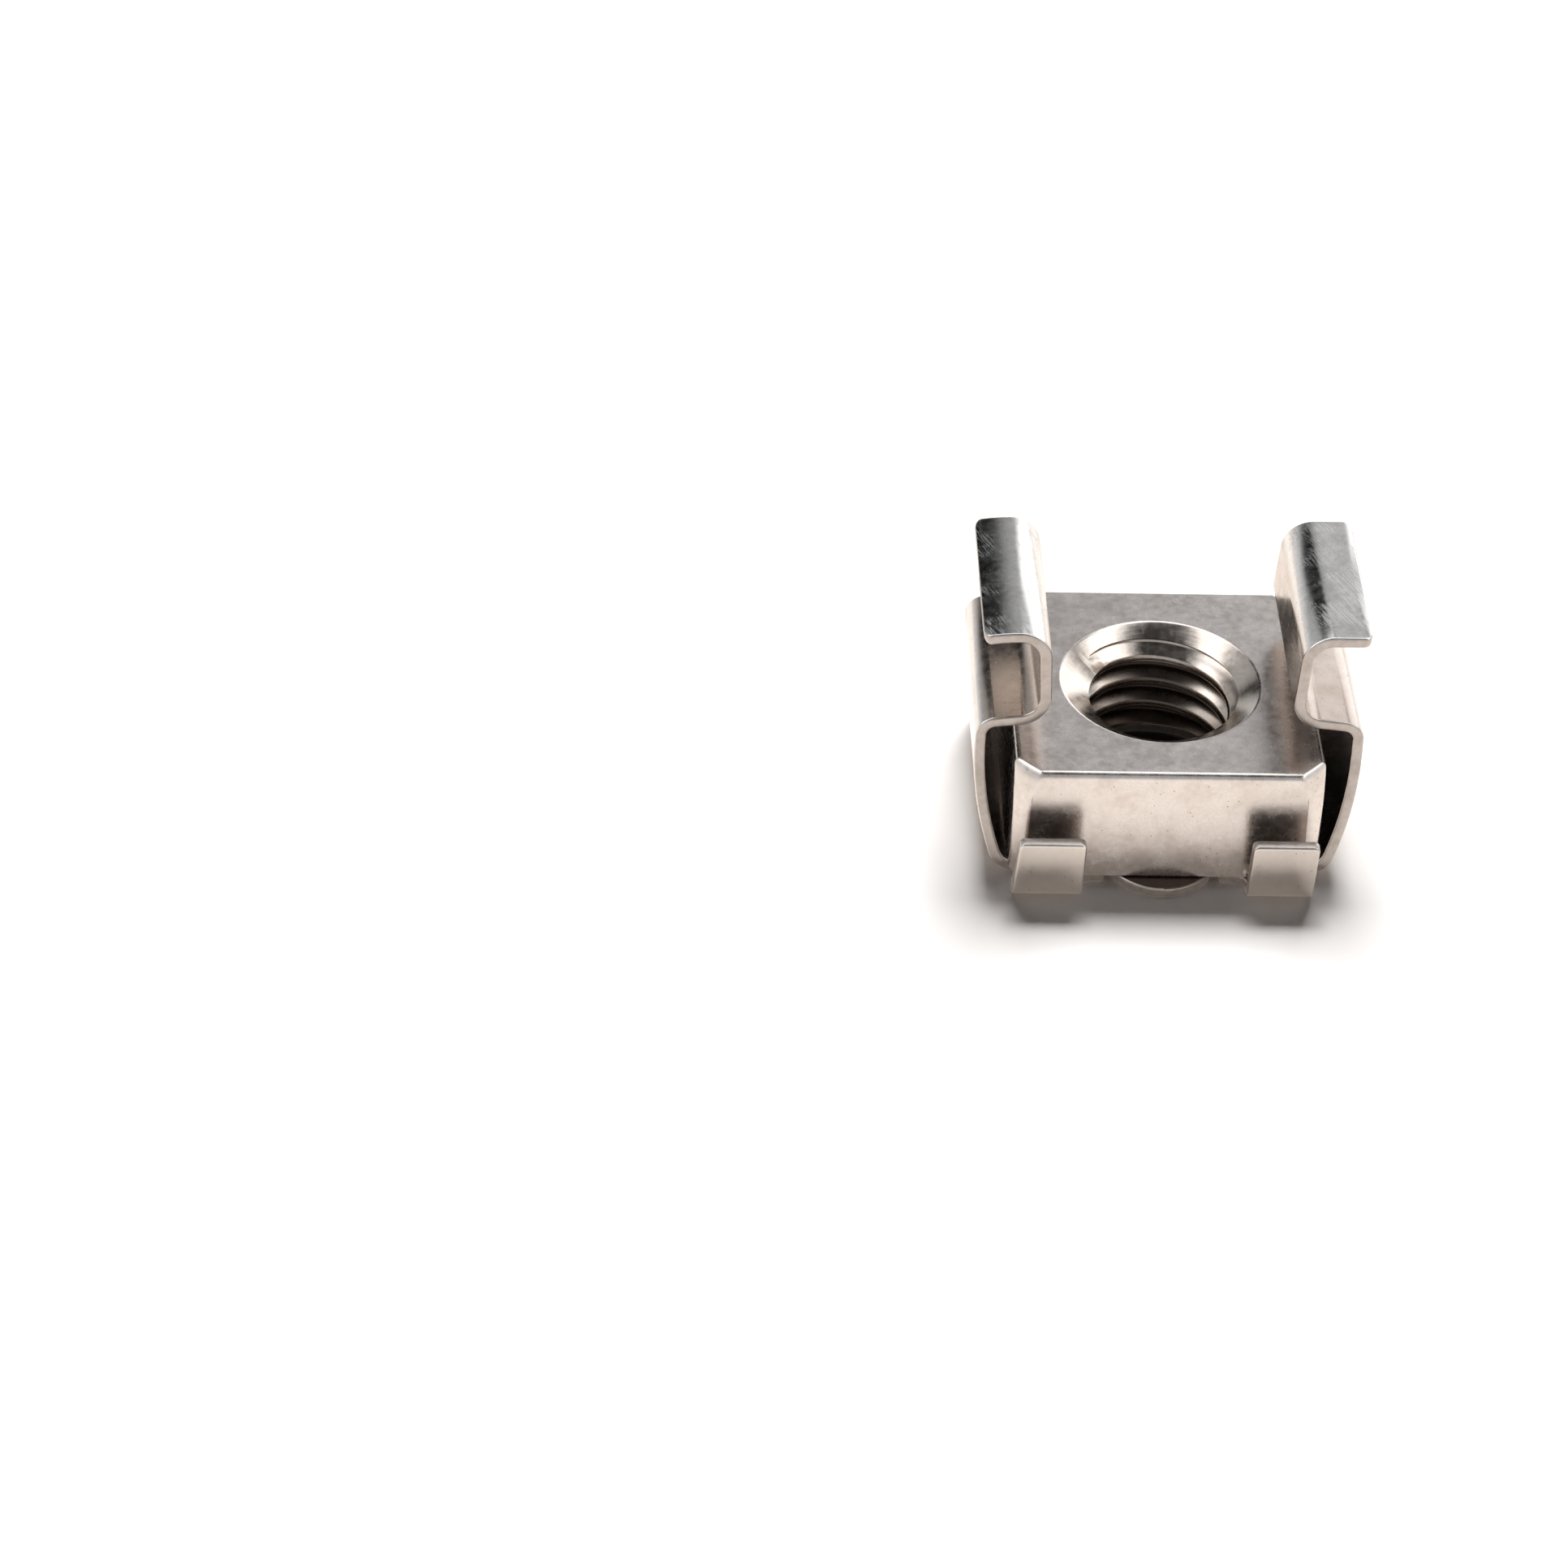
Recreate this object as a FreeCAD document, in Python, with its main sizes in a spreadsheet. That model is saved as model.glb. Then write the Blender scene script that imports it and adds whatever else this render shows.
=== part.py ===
import FreeCAD, Part
import math
import os
import Sketcher

# Rack cage nut, M6: a loose square nut held in a cage folded from one strip of spring steel.
# Frame: +Z up, X from wing to wing, Y from tab to tab, origin on the thread's axis at the
# underside of the cage. All sizes are millimetres, all angles degrees.

Vector = FreeCAD.Vector

# Driving dimensions
SIZES = {
    # Spring steel strip
    "sheet_thickness": 0.4,
    # Square nut
    "nut_width": 10.7,
    "nut_height": 4.5,
    "nut_corner_radius": 0.5,
    "nut_edge_radius": 0.18,
    "nut_seat_chamfer": 0.4,
    "crown_cut": 0.4,
    "crown_angle": 38.0,
    "thread_diameter": 6.0,
    "thread_pitch": 1.0,
    "thread_depth_ratio": 0.5413,
    "countersink_diameter": 7.0,
    "countersink_angle": 90.0,
    # Room that the nut has inside the cage
    "seat_clearance": 0.03,
    "side_float": 0.95,
    "end_float": 0.5,
    "top_float": 0.7,
    # Base plate
    "plate_width": 10.2,
    "base_hole_diameter": 6.8,
    "tongue_radius": 2.0,
    "tongue_overhang": 0.6,
    "relief_spread": 3.4,
    "relief_width": 0.5,
    "relief_depth": 0.8,
    # Wings: bend radii are those of the outside of each bend
    "root_bend_radius": 1.1,
    "wall_bow_radius": 12.0,
    "shoulder_bend_radius": 0.75,
    "flange_rise_angle": 7.0,
    "neck_bend_radius": 1.1,
    "neck_lean_angle": 3.0,
    "hook_bend_radius": 1.1,
    "strip_width": 9.3,
    "shoulder_width": 7.25,
    "hook_width": 6.9,
    # Fit in the rack's square hole
    "rack_hole_width": 9.5,
    "rack_hole_clearance": 0.2,
    "panel_gap": 3.0,
    "hook_overlap": 1.85,
    "hook_corner_radius": 0.5,
    # Corner tabs
    "tab_width": 2.3,
    "tab_spread": 10.3,
    "tab_height": 2.75,
    "tab_bend_radius": 0.7,
    "tab_lean_angle": 8.0,
    "tab_corner_radius": 0.2,
    # How far the outline of a cut runs past the metal
    "cut_margin": 1.0,
}

# Derived lengths, as expressions of the sheet's cells
HALF_SHEET = "Sizes.sheet_thickness / 2"
NUT_HALF = "Sizes.nut_width / 2"
NUT_TOP = "(Sizes.sheet_thickness + Sizes.nut_height)"
SEAT_TOP = "(2 * Sizes.sheet_thickness + Sizes.nut_height + Sizes.top_float)"
HOOK_UNDERSIDE = "(" + SEAT_TOP + " + Sizes.panel_gap)"
HOOK_TOP = "(" + HOOK_UNDERSIDE + " + Sizes.sheet_thickness)"
WALL_OUTSIDE = "(" + NUT_HALF + " + Sizes.side_float + Sizes.sheet_thickness)"
NECK_OUTSIDE = "(Sizes.rack_hole_width / 2 - Sizes.rack_hole_clearance)"
HOOK_TIP = "(Sizes.rack_hole_width / 2 + Sizes.hook_overlap)"
TAB_INSIDE = "(" + NUT_HALF + " + Sizes.end_float)"
TAB_BEND_START = "(" + TAB_INSIDE + " - Sizes.tab_bend_radius + Sizes.sheet_thickness)"
RELIEF_CENTRE = "Sizes.relief_spread / 2"
TAB_OUTER_SIDE = "Sizes.tab_spread / 2"
TAB_INNER_SIDE = "(Sizes.tab_spread / 2 - Sizes.tab_width)"
PLATE_HALF = "Sizes.plate_width / 2"
RELIEF_END = "(Sizes.plate_width / 2 - Sizes.relief_depth)"
CORNER_REACH = "((" + NUT_HALF + " - Sizes.nut_corner_radius) * sqrt(2) + Sizes.nut_corner_radius)"
CROWN_RADIUS = "(" + CORNER_REACH + " - Sizes.crown_cut)"
MINOR_RADIUS = "(Sizes.thread_diameter / 2 - Sizes.thread_depth_ratio * Sizes.thread_pitch)"

# Tolerances
SAME_PLACE = 1e-3
NO_VOLUME = 1e-6

doc = FreeCAD.newDocument("rack_cage_nut")
sheet = doc.addObject("Spreadsheet::Sheet", "Sizes")
for row, (alias, number) in enumerate(SIZES.items(), start=1):
    sheet.set("A" + str(row), alias)
    sheet.set("B" + str(row), str(number))
    sheet.setAlias("B" + str(row), alias)
doc.recompute()


def value(expression):
    """Number that an expression of the sheet's cells stands for."""
    result = sheet.evalExpression(expression)
    return float(getattr(result, "Value", result))


def new_body(label):
    body = doc.addObject("PartDesign::Body", label)
    body.Label = label
    return body


def origin_plane(body, role):
    return next(item for item in body.Origin.OriginFeatures if item.Role == role)


def new_sketch(body, name, role, offset=None):
    """Sketch on one of the body's origin planes, moved along its normal by an expression."""
    sketch = body.newObject("Sketcher::SketchObject", name)
    sketch.AttachmentSupport = [(origin_plane(body, role), "")]
    sketch.MapMode = "FlatFace"
    if offset:
        sketch.setExpression("AttachmentOffset.Base.z", offset)
    return sketch


def drive(sketch, kind, references, name, expression):
    """Dimension of a sketch, bound to an expression of the sheet's cells."""
    number = value(expression)
    if kind == "Angle":
        number = math.radians(number)
    index = sketch.addConstraint(Sketcher.Constraint(kind, *references, number))
    sketch.renameConstraint(index, name)
    sketch.setExpression("Constraints." + name, expression)


def place(sketch, geometry, vertex, name, x, y):
    """Fix a point of a sketch at x and y from the origin, given as expressions."""
    if value(x) < 0:
        drive(sketch, "DistanceX", (geometry, vertex, -1, 1), name + "_x", "-(" + x + ")")
    else:
        drive(sketch, "DistanceX", (-1, 1, geometry, vertex), name + "_x", x)
    if value(y) < 0:
        drive(sketch, "DistanceY", (geometry, vertex, -1, 1), name + "_y", "-(" + y + ")")
    else:
        drive(sketch, "DistanceY", (-1, 1, geometry, vertex), name + "_y", y)


def outline(sketch, name, corners):
    """Closed polygon with each corner fixed by a pair of expressions."""
    points = [Vector(value(x), value(y), 0) for x, y in corners]
    first = sketch.GeometryCount
    count = len(points)
    for index in range(count):
        sketch.addGeometry(Part.LineSegment(points[index], points[(index + 1) % count]))
    for index in range(count):
        following = first + (index + 1) % count
        sketch.addConstraint(Sketcher.Constraint("Coincident", first + index, 2, following, 1))
    for index, (x, y) in enumerate(corners):
        place(sketch, first + index, 1, name + str(index), x, y)


def circle(sketch, name, x, y, radius):
    """Circle with its centre and radius fixed by expressions."""
    centre = Vector(value(x), value(y), 0)
    index = sketch.addGeometry(Part.Circle(centre, Vector(0, 0, 1), value(radius)))
    place(sketch, index, 3, name, x, y)
    drive(sketch, "Radius", (index,), name + "_radius", radius)


def arc(centre, radius, start, end):
    """Arc that runs counterclockwise between two angles in radians."""
    return Part.ArcOfCircle(Part.Circle(centre, Vector(0, 0, 1), radius), start, end)


def angle_from(centre, point):
    return math.atan2(point.y - centre.y, point.x - centre.x)


def pad(body, name, sketch, length):
    feature = body.newObject("PartDesign::Pad", name)
    feature.Profile = sketch
    feature.setExpression("Length", length)
    doc.recompute()
    return feature


def pocket(body, name, sketch):
    """Cut through the whole body on both sides of the sketch, checked to remove metal."""
    before = body.Shape.Volume
    feature = body.newObject("PartDesign::Pocket", name)
    feature.Profile = sketch
    feature.Type = "ThroughAll"
    feature.Midplane = True
    doc.recompute()
    if feature.Shape.Volume > before - NO_VOLUME:
        raise RuntimeError(name + " cuts nothing")
    return feature


def groove(body, name, sketch):
    """Cut a shape turned about the thread's axis, checked to remove metal."""
    before = body.Shape.Volume
    feature = body.newObject("PartDesign::Groove", name)
    feature.Profile = sketch
    feature.ReferenceAxis = (sketch, ["V_Axis"])
    feature.Angle = 360
    doc.recompute()
    if feature.Shape.Volume > before - NO_VOLUME:
        raise RuntimeError(name + " cuts nothing")
    return feature


def sweep(body, name, section, path):
    feature = body.newObject("PartDesign::AdditivePipe", name)
    feature.Profile = section
    feature.Spine = (path, [])
    doc.recompute()
    return feature


def mirror(body, name, originals, role):
    feature = body.newObject("PartDesign::Mirrored", name)
    feature.Originals = originals
    feature.MirrorPlane = (origin_plane(body, role), [""])
    body.Tip = feature
    doc.recompute()
    return feature


def mirror_all(body, name, originals):
    """Copies of the originals in the other three quarters of the plan."""
    feature = body.newObject("PartDesign::MultiTransform", name)
    feature.Originals = originals
    across = body.newObject("PartDesign::Mirrored", name + "_across")
    across.MirrorPlane = (origin_plane(body, "YZ_Plane"), [""])
    along = body.newObject("PartDesign::Mirrored", name + "_along")
    along.MirrorPlane = (origin_plane(body, "XZ_Plane"), [""])
    feature.Transformations = [across, along]
    body.Tip = feature
    doc.recompute()
    return feature


def round_edges(body, name, wanted, radius):
    """Fillet each edge of the body whose centre of mass passes the test."""
    base = body.Tip
    chosen = []
    for index, edge in enumerate(base.Shape.Edges, start=1):
        if wanted(edge):
            chosen.append("Edge" + str(index))
    if not chosen:
        raise RuntimeError(name + " finds no edge")
    feature = body.newObject("PartDesign::Fillet", name)
    feature.Base = (base, chosen)
    feature.setExpression("Radius", radius)
    doc.recompute()
    return feature


def level_edges(shape, level):
    """Names of the edges of a shape that lie flat at a height."""
    names = []
    for index, edge in enumerate(shape.Edges, start=1):
        box = edge.BoundBox
        if near(box.ZMin, level) and near(box.ZMax, level):
            names.append("Edge" + str(index))
    return names


def near(first, second):
    return abs(first - second) < SAME_PLACE


def is_straight(edge):
    return edge.Curve.TypeId == "Part::GeomLine"


def runs_along_z(edge):
    return is_straight(edge) and near(abs(edge.tangentAt(edge.FirstParameter).z), 1)


# Spring cage: fold line of one wing, in the middle of the strip's thickness

def wing_path(body):
    """Path from the middle of the base out to the tip of the right hook."""
    half = value(HALF_SHEET)
    root_radius = value("Sizes.root_bend_radius") - half
    bow_radius = value("Sizes.wall_bow_radius") - half
    shoulder_radius = value("Sizes.shoulder_bend_radius") - half
    neck_radius = value("Sizes.neck_bend_radius") - half
    hook_radius = value("Sizes.hook_bend_radius") - half
    rise = math.radians(value("Sizes.flange_rise_angle"))
    lean = math.radians(value("Sizes.neck_lean_angle"))

    root_x = NUT_HALF + " - Sizes.nut_seat_chamfer + Sizes.seat_clearance"
    bow_x = WALL_OUTSIDE + " - Sizes.wall_bow_radius"
    neck_x = NECK_OUTSIDE + " + Sizes.neck_bend_radius - Sizes.sheet_thickness"
    neck_z = SEAT_TOP + " + Sizes.neck_bend_radius - Sizes.sheet_thickness"

    root_centre = Vector(value(root_x), half + root_radius, 0)
    bow_centre = Vector(value(bow_x), 0, 0)
    reach = bow_radius - root_radius
    across = root_centre.x - bow_centre.x
    bow_centre.y = root_centre.y + math.sqrt(reach ** 2 - across ** 2)
    root_start = Vector(root_centre.x, half, 0)
    root_end = bow_centre + (root_centre - bow_centre) * (bow_radius / reach)

    neck_centre = Vector(value(neck_x), value(neck_z), 0)
    below = Vector(-math.sin(rise), -math.cos(rise), 0)
    inward = Vector(-math.cos(rise), math.sin(rise), 0)
    flange_end = neck_centre + below * neck_radius

    start_centre = flange_end + below * shoulder_radius
    to_bow = start_centre - bow_centre
    along = to_bow.dot(inward)
    short = to_bow.dot(to_bow) - (bow_radius - shoulder_radius) ** 2
    flange_length = along + math.sqrt(along ** 2 - short)
    flange_start = flange_end - inward * flange_length
    shoulder_centre = flange_start + below * shoulder_radius
    wall_end = bow_centre + (shoulder_centre - bow_centre) * (
        bow_radius / (bow_radius - shoulder_radius))

    toward_neck = Vector(-math.cos(lean), math.sin(lean), 0)
    up_neck = Vector(math.sin(lean), math.cos(lean), 0)
    neck_start = neck_centre + toward_neck * neck_radius
    shelf_z = value(HOOK_UNDERSIDE) + half
    neck_end_z = shelf_z - hook_radius + hook_radius * math.sin(lean)
    neck_end = neck_start + up_neck * ((neck_end_z - neck_start.y) / math.cos(lean))
    hook_centre = neck_end - toward_neck * hook_radius
    shelf_start = Vector(hook_centre.x, shelf_z, 0)
    shelf_end = Vector(value(HOOK_TIP), shelf_z, 0)

    sketch = new_sketch(body, "wing_path", "XZ_Plane")
    base_line = sketch.addGeometry(Part.LineSegment(Vector(0, half, 0), root_start))
    root_bend = sketch.addGeometry(
        arc(root_centre, root_radius, -math.pi / 2, angle_from(root_centre, root_end)))
    wall = sketch.addGeometry(
        arc(bow_centre, bow_radius, angle_from(bow_centre, root_end), angle_from(bow_centre, wall_end)))
    shoulder_bend = sketch.addGeometry(
        arc(shoulder_centre, shoulder_radius, angle_from(shoulder_centre, wall_end),
            angle_from(shoulder_centre, flange_start)))
    flange = sketch.addGeometry(Part.LineSegment(flange_start, flange_end))
    neck_bend = sketch.addGeometry(
        arc(neck_centre, neck_radius, angle_from(neck_centre, neck_start),
            angle_from(neck_centre, flange_end) + 2 * math.pi))
    neck = sketch.addGeometry(Part.LineSegment(neck_start, neck_end))
    hook_bend = sketch.addGeometry(
        arc(hook_centre, hook_radius, math.pi / 2, angle_from(hook_centre, neck_end)))
    shelf = sketch.addGeometry(Part.LineSegment(shelf_start, shelf_end))

    joints = [
        (base_line, 2, root_bend, 1),
        (root_bend, 2, wall, 1),
        (wall, 2, shoulder_bend, 1),
        (shoulder_bend, 2, flange, 1),
        (flange, 2, neck_bend, 2),
        (neck_bend, 1, neck, 1),
        (neck, 2, hook_bend, 2),
        (hook_bend, 1, shelf, 1),
    ]
    for joint in joints:
        sketch.addConstraint(Sketcher.Constraint("Tangent", *joint))
    sketch.addConstraint(Sketcher.Constraint("PointOnObject", base_line, 1, -2))
    sketch.addConstraint(Sketcher.Constraint("Horizontal", base_line))
    sketch.addConstraint(Sketcher.Constraint("Horizontal", shelf))
    drive(sketch, "DistanceY", (-1, 1, base_line, 1), "base_level", HALF_SHEET)
    drive(sketch, "Radius", (root_bend,), "root_radius", "Sizes.root_bend_radius - " + HALF_SHEET)
    drive(sketch, "DistanceX", (-1, 1, root_bend, 3), "root_x", root_x)
    drive(sketch, "Radius", (wall,), "bow_radius", "Sizes.wall_bow_radius - " + HALF_SHEET)
    drive(sketch, "DistanceX", (wall, 3, -1, 1), "bow_x", "-(" + bow_x + ")")
    drive(sketch, "Radius", (shoulder_bend,), "shoulder_radius",
          "Sizes.shoulder_bend_radius - " + HALF_SHEET)
    drive(sketch, "Angle", (flange,), "flange_angle", "180 - Sizes.flange_rise_angle")
    drive(sketch, "Radius", (neck_bend,), "neck_radius", "Sizes.neck_bend_radius - " + HALF_SHEET)
    place(sketch, neck_bend, 3, "neck_centre", neck_x, neck_z)
    drive(sketch, "Angle", (neck,), "neck_angle", "90 - Sizes.neck_lean_angle")
    drive(sketch, "Radius", (hook_bend,), "hook_radius", "Sizes.hook_bend_radius - " + HALF_SHEET)
    place(sketch, shelf, 2, "hook_tip", HOOK_TIP, HOOK_UNDERSIDE + " + " + HALF_SHEET)
    return sketch


def tab_path(body):
    """Path of the front right tab, from the base plate up to its top edge."""
    half = value(HALF_SHEET)
    radius = value("Sizes.tab_bend_radius") - half
    lean = math.radians(value("Sizes.tab_lean_angle"))
    start = Vector(-value(RELIEF_END), half, 0)
    bend_start = Vector(-value(TAB_BEND_START), half, 0)
    centre = bend_start + Vector(0, radius, 0)
    bend_end = centre + Vector(-math.cos(lean), -math.sin(lean), 0) * radius
    rise = value("Sizes.tab_height") - bend_end.y
    top = bend_end + Vector(-rise * math.tan(lean), rise, 0)

    sketch = new_sketch(body, "tab_path", "YZ_Plane")
    root = sketch.addGeometry(Part.LineSegment(start, bend_start))
    bend = sketch.addGeometry(arc(centre, radius, math.pi + lean, 3 * math.pi / 2))
    upright = sketch.addGeometry(Part.LineSegment(bend_end, top))
    sketch.addConstraint(Sketcher.Constraint("Tangent", root, 2, bend, 2))
    sketch.addConstraint(Sketcher.Constraint("Tangent", bend, 1, upright, 1))
    sketch.addConstraint(Sketcher.Constraint("Horizontal", root))
    place(sketch, root, 1, "root", "-" + RELIEF_END, HALF_SHEET)
    drive(sketch, "DistanceX", (root, 2, -1, 1), "bend_start", TAB_BEND_START)
    drive(sketch, "Radius", (bend,), "bend_radius", "Sizes.tab_bend_radius - " + HALF_SHEET)
    drive(sketch, "Angle", (upright,), "lean", "90 + Sizes.tab_lean_angle")
    drive(sketch, "DistanceY", (-1, 1, upright, 2), "height", "Sizes.tab_height")
    return sketch


def relief_outline(body):
    """Slot with a round end, cut inwards between the tongue and the corner plate."""
    centre_x = value(RELIEF_CENTRE)
    radius = value("Sizes.relief_width / 2")
    mouth = -value(PLATE_HALF + " + Sizes.cut_margin")
    centre = Vector(centre_x, -value(RELIEF_END) - radius, 0)
    left = Vector(centre_x - radius, mouth, 0)
    right = Vector(centre_x + radius, mouth, 0)
    left_end = Vector(left.x, centre.y, 0)
    right_end = Vector(right.x, centre.y, 0)

    sketch = new_sketch(body, "relief_outline", "XY_Plane")
    mouth_line = sketch.addGeometry(Part.LineSegment(left, right))
    right_side = sketch.addGeometry(Part.LineSegment(right, right_end))
    end = sketch.addGeometry(arc(centre, radius, 0, math.pi))
    left_side = sketch.addGeometry(Part.LineSegment(left_end, left))
    sketch.addConstraint(Sketcher.Constraint("Coincident", mouth_line, 2, right_side, 1))
    sketch.addConstraint(Sketcher.Constraint("Tangent", right_side, 2, end, 1))
    sketch.addConstraint(Sketcher.Constraint("Tangent", end, 2, left_side, 1))
    sketch.addConstraint(Sketcher.Constraint("Coincident", left_side, 2, mouth_line, 1))
    sketch.addConstraint(Sketcher.Constraint("Horizontal", mouth_line))
    sketch.addConstraint(Sketcher.Constraint("Vertical", left_side))
    drive(sketch, "Radius", (end,), "end_radius", "Sizes.relief_width / 2")
    place(sketch, end, 3, "end_centre", RELIEF_CENTRE,
          "-(" + RELIEF_END + " + Sizes.relief_width / 2)")
    drive(sketch, "DistanceY", (mouth_line, 1, -1, 1), "mouth", PLATE_HALF + " + Sizes.cut_margin")
    return sketch


def make_cage():
    body = new_body("spring_cage")

    # Strip folded up into both wings, as wide all along as it is at the base
    strip_half = "Sizes.strip_width / 2"
    section = new_sketch(body, "strip_section", "YZ_Plane")
    outline(section, "corner", [
        ("-" + strip_half, "0"),
        (strip_half, "0"),
        (strip_half, "Sizes.sheet_thickness"),
        ("-" + strip_half, "Sizes.sheet_thickness"),
    ])
    path = wing_path(body)
    doc.recompute()
    wing = sweep(body, "wing", section, path)
    mirror(body, "wing_pair", [wing], "YZ_Plane")

    # Side edges of the wings, tapered from the base to the shoulder and on to the hook
    taper = new_sketch(body, "wing_taper", "YZ_Plane")
    outside = "(" + strip_half + " + Sizes.cut_margin)"
    above = "(" + HOOK_TOP + " + Sizes.cut_margin)"
    for side, name in (("-", "front"), ("", "rear")):
        outline(taper, name, [
            (side + strip_half, "Sizes.sheet_thickness"),
            (side + "Sizes.shoulder_width / 2", NUT_TOP),
            (side + "Sizes.hook_width / 2", HOOK_TOP),
            (side + "Sizes.hook_width / 2", above),
            (side + outside, above),
            (side + outside, "Sizes.sheet_thickness"),
        ])
    doc.recompute()
    pocket(body, "wing_edges", taper)

    # Rounded tongues that reach out under the nut's front and back faces
    tongues = new_sketch(body, "tongue_outline", "XY_Plane")
    tongue_y = NUT_HALF + " + Sizes.tongue_overhang - Sizes.tongue_radius"
    circle(tongues, "front", "0", "-(" + tongue_y + ")", "Sizes.tongue_radius")
    doc.recompute()
    front_tongue = pad(body, "front_tongue", tongues, "Sizes.sheet_thickness")
    mirror(body, "tongue_pair", [front_tongue], "XZ_Plane")

    # Corner plate, tab and relief slot of the front right corner, mirrored to all four
    plate_side = RELIEF_CENTRE + " + Sizes.relief_width / 2"
    corner = new_sketch(body, "corner_outline", "XY_Plane")
    outline(corner, "corner", [
        (plate_side, "-" + RELIEF_END),
        (plate_side, "-" + PLATE_HALF),
        (TAB_INNER_SIDE, "-" + TAB_BEND_START),
        (TAB_OUTER_SIDE, "-" + TAB_BEND_START),
        (TAB_OUTER_SIDE, "-" + RELIEF_END),
    ])
    doc.recompute()
    corner_plate = pad(body, "corner_plate", corner, "Sizes.sheet_thickness")

    tab_section = new_sketch(body, "tab_section", "XZ_Plane", RELIEF_END)
    outline(tab_section, "corner", [
        (TAB_INNER_SIDE, "0"),
        (TAB_OUTER_SIDE, "0"),
        (TAB_OUTER_SIDE, "Sizes.sheet_thickness"),
        (TAB_INNER_SIDE, "Sizes.sheet_thickness"),
    ])
    spine = tab_path(body)
    doc.recompute()
    tab = sweep(body, "tab", tab_section, spine)

    relief = relief_outline(body)
    doc.recompute()
    relief_slot = pocket(body, "relief_slot", relief)
    mirror_all(body, "four_corners", [corner_plate, tab, relief_slot])

    # Clearance hole for the end of the screw
    hole = new_sketch(body, "hole_outline", "XY_Plane")
    circle(hole, "hole", "0", "0", "Sizes.base_hole_diameter / 2")
    doc.recompute()
    pocket(body, "base_hole", hole)

    # Rounded corners of the tabs and hooks
    thickness = value("Sizes.sheet_thickness")
    tab_inside = value(TAB_INSIDE)
    tab_middle = value("Sizes.tab_height / 2")
    tip = value(HOOK_TIP)
    round_edges(
        body, "tab_corners",
        lambda edge: is_straight(edge) and near(edge.Length, thickness)
        and abs(edge.CenterOfMass.y) > tab_inside and edge.CenterOfMass.z > tab_middle,
        "Sizes.tab_corner_radius")
    round_edges(
        body, "hook_corners",
        lambda edge: is_straight(edge) and near(edge.BoundBox.ZLength, thickness)
        and near(abs(edge.CenterOfMass.x), tip),
        "Sizes.hook_corner_radius")
    return body


def make_nut():
    body = new_body("square_nut")
    body.setExpression("Placement.Base.z", "Sizes.sheet_thickness")

    square = new_sketch(body, "square_outline", "XY_Plane")
    outline(square, "corner", [
        ("-" + NUT_HALF, "-" + NUT_HALF),
        (NUT_HALF, "-" + NUT_HALF),
        (NUT_HALF, NUT_HALF),
        ("-" + NUT_HALF, NUT_HALF),
    ])
    doc.recompute()
    pad(body, "square_block", square, "Sizes.nut_height")
    round_edges(body, "upright_corners", runs_along_z, "Sizes.nut_corner_radius")

    # Bevel round the seat, clear of the bends of the cage, and soft edges round the top
    block = body.Tip
    bevel = body.newObject("PartDesign::Chamfer", "seat_bevel")
    bevel.Base = (block, level_edges(block.Shape, 0.0))
    bevel.setExpression("Size", "Sizes.nut_seat_chamfer")
    doc.recompute()
    height = value("Sizes.nut_height")
    round_edges(
        body, "top_edges",
        lambda edge: near(edge.BoundBox.ZMin, height) and near(edge.BoundBox.ZMax, height),
        "Sizes.nut_edge_radius")

    # Crown: the four top corners turned off by a cone
    crown = new_sketch(body, "crown_profile", "XZ_Plane")
    beyond = "(Sizes.nut_width)"
    drop = "(" + beyond + " - " + CROWN_RADIUS + ") * tan(Sizes.crown_angle)"
    outline(crown, "corner", [
        (CROWN_RADIUS, "Sizes.nut_height"),
        (beyond, "Sizes.nut_height - " + drop),
        (beyond, "Sizes.nut_height + Sizes.cut_margin"),
        (CROWN_RADIUS, "Sizes.nut_height + Sizes.cut_margin"),
    ])
    doc.recompute()
    groove(body, "crown", crown)

    # Threaded bore at its minor diameter, countersunk from both faces
    bore = new_sketch(body, "bore_profile", "XZ_Plane")
    sink_half = "Sizes.countersink_diameter / 2"
    sink_depth = "(" + sink_half + " - " + MINOR_RADIUS + ") / tan(Sizes.countersink_angle / 2)"
    outline(bore, "corner", [
        ("0", "0"),
        (sink_half, "0"),
        (MINOR_RADIUS, sink_depth),
        (MINOR_RADIUS, "Sizes.nut_height - " + sink_depth),
        (sink_half, "Sizes.nut_height"),
        ("0", "Sizes.nut_height"),
    ])
    doc.recompute()
    groove(body, "threaded_bore", bore)
    return body


def check_document():
    """Stop if any object of the document failed, or if a piece has no valid solid."""
    for item in doc.Objects:
        if "Invalid" in item.State or "Error" in item.State:
            raise RuntimeError(item.Name + " failed: " + str(item.State))


def export(body):
    shape = body.Shape
    if shape.isNull() or not shape.isValid():
        raise RuntimeError(body.Label + " has no valid shape")
    shape.exportStep("parts/" + body.Label + ".step")
    print(body.Label, "solids", len(shape.Solids), "volume", round(shape.Volume, 3))


os.makedirs("parts", exist_ok=True)
pieces = [make_cage(), make_nut()]
doc.recompute()
check_document()
for piece in pieces:
    export(piece)
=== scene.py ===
"""Dresses the rack cage nut: a folded spring cage, and the square nut that floats in it."""

import logging
import math
from abc import ABC, abstractmethod
from dataclasses import dataclass, field
from enum import Enum
from typing import Callable

import bmesh
import bpy
from mathutils import Matrix, Vector


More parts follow.
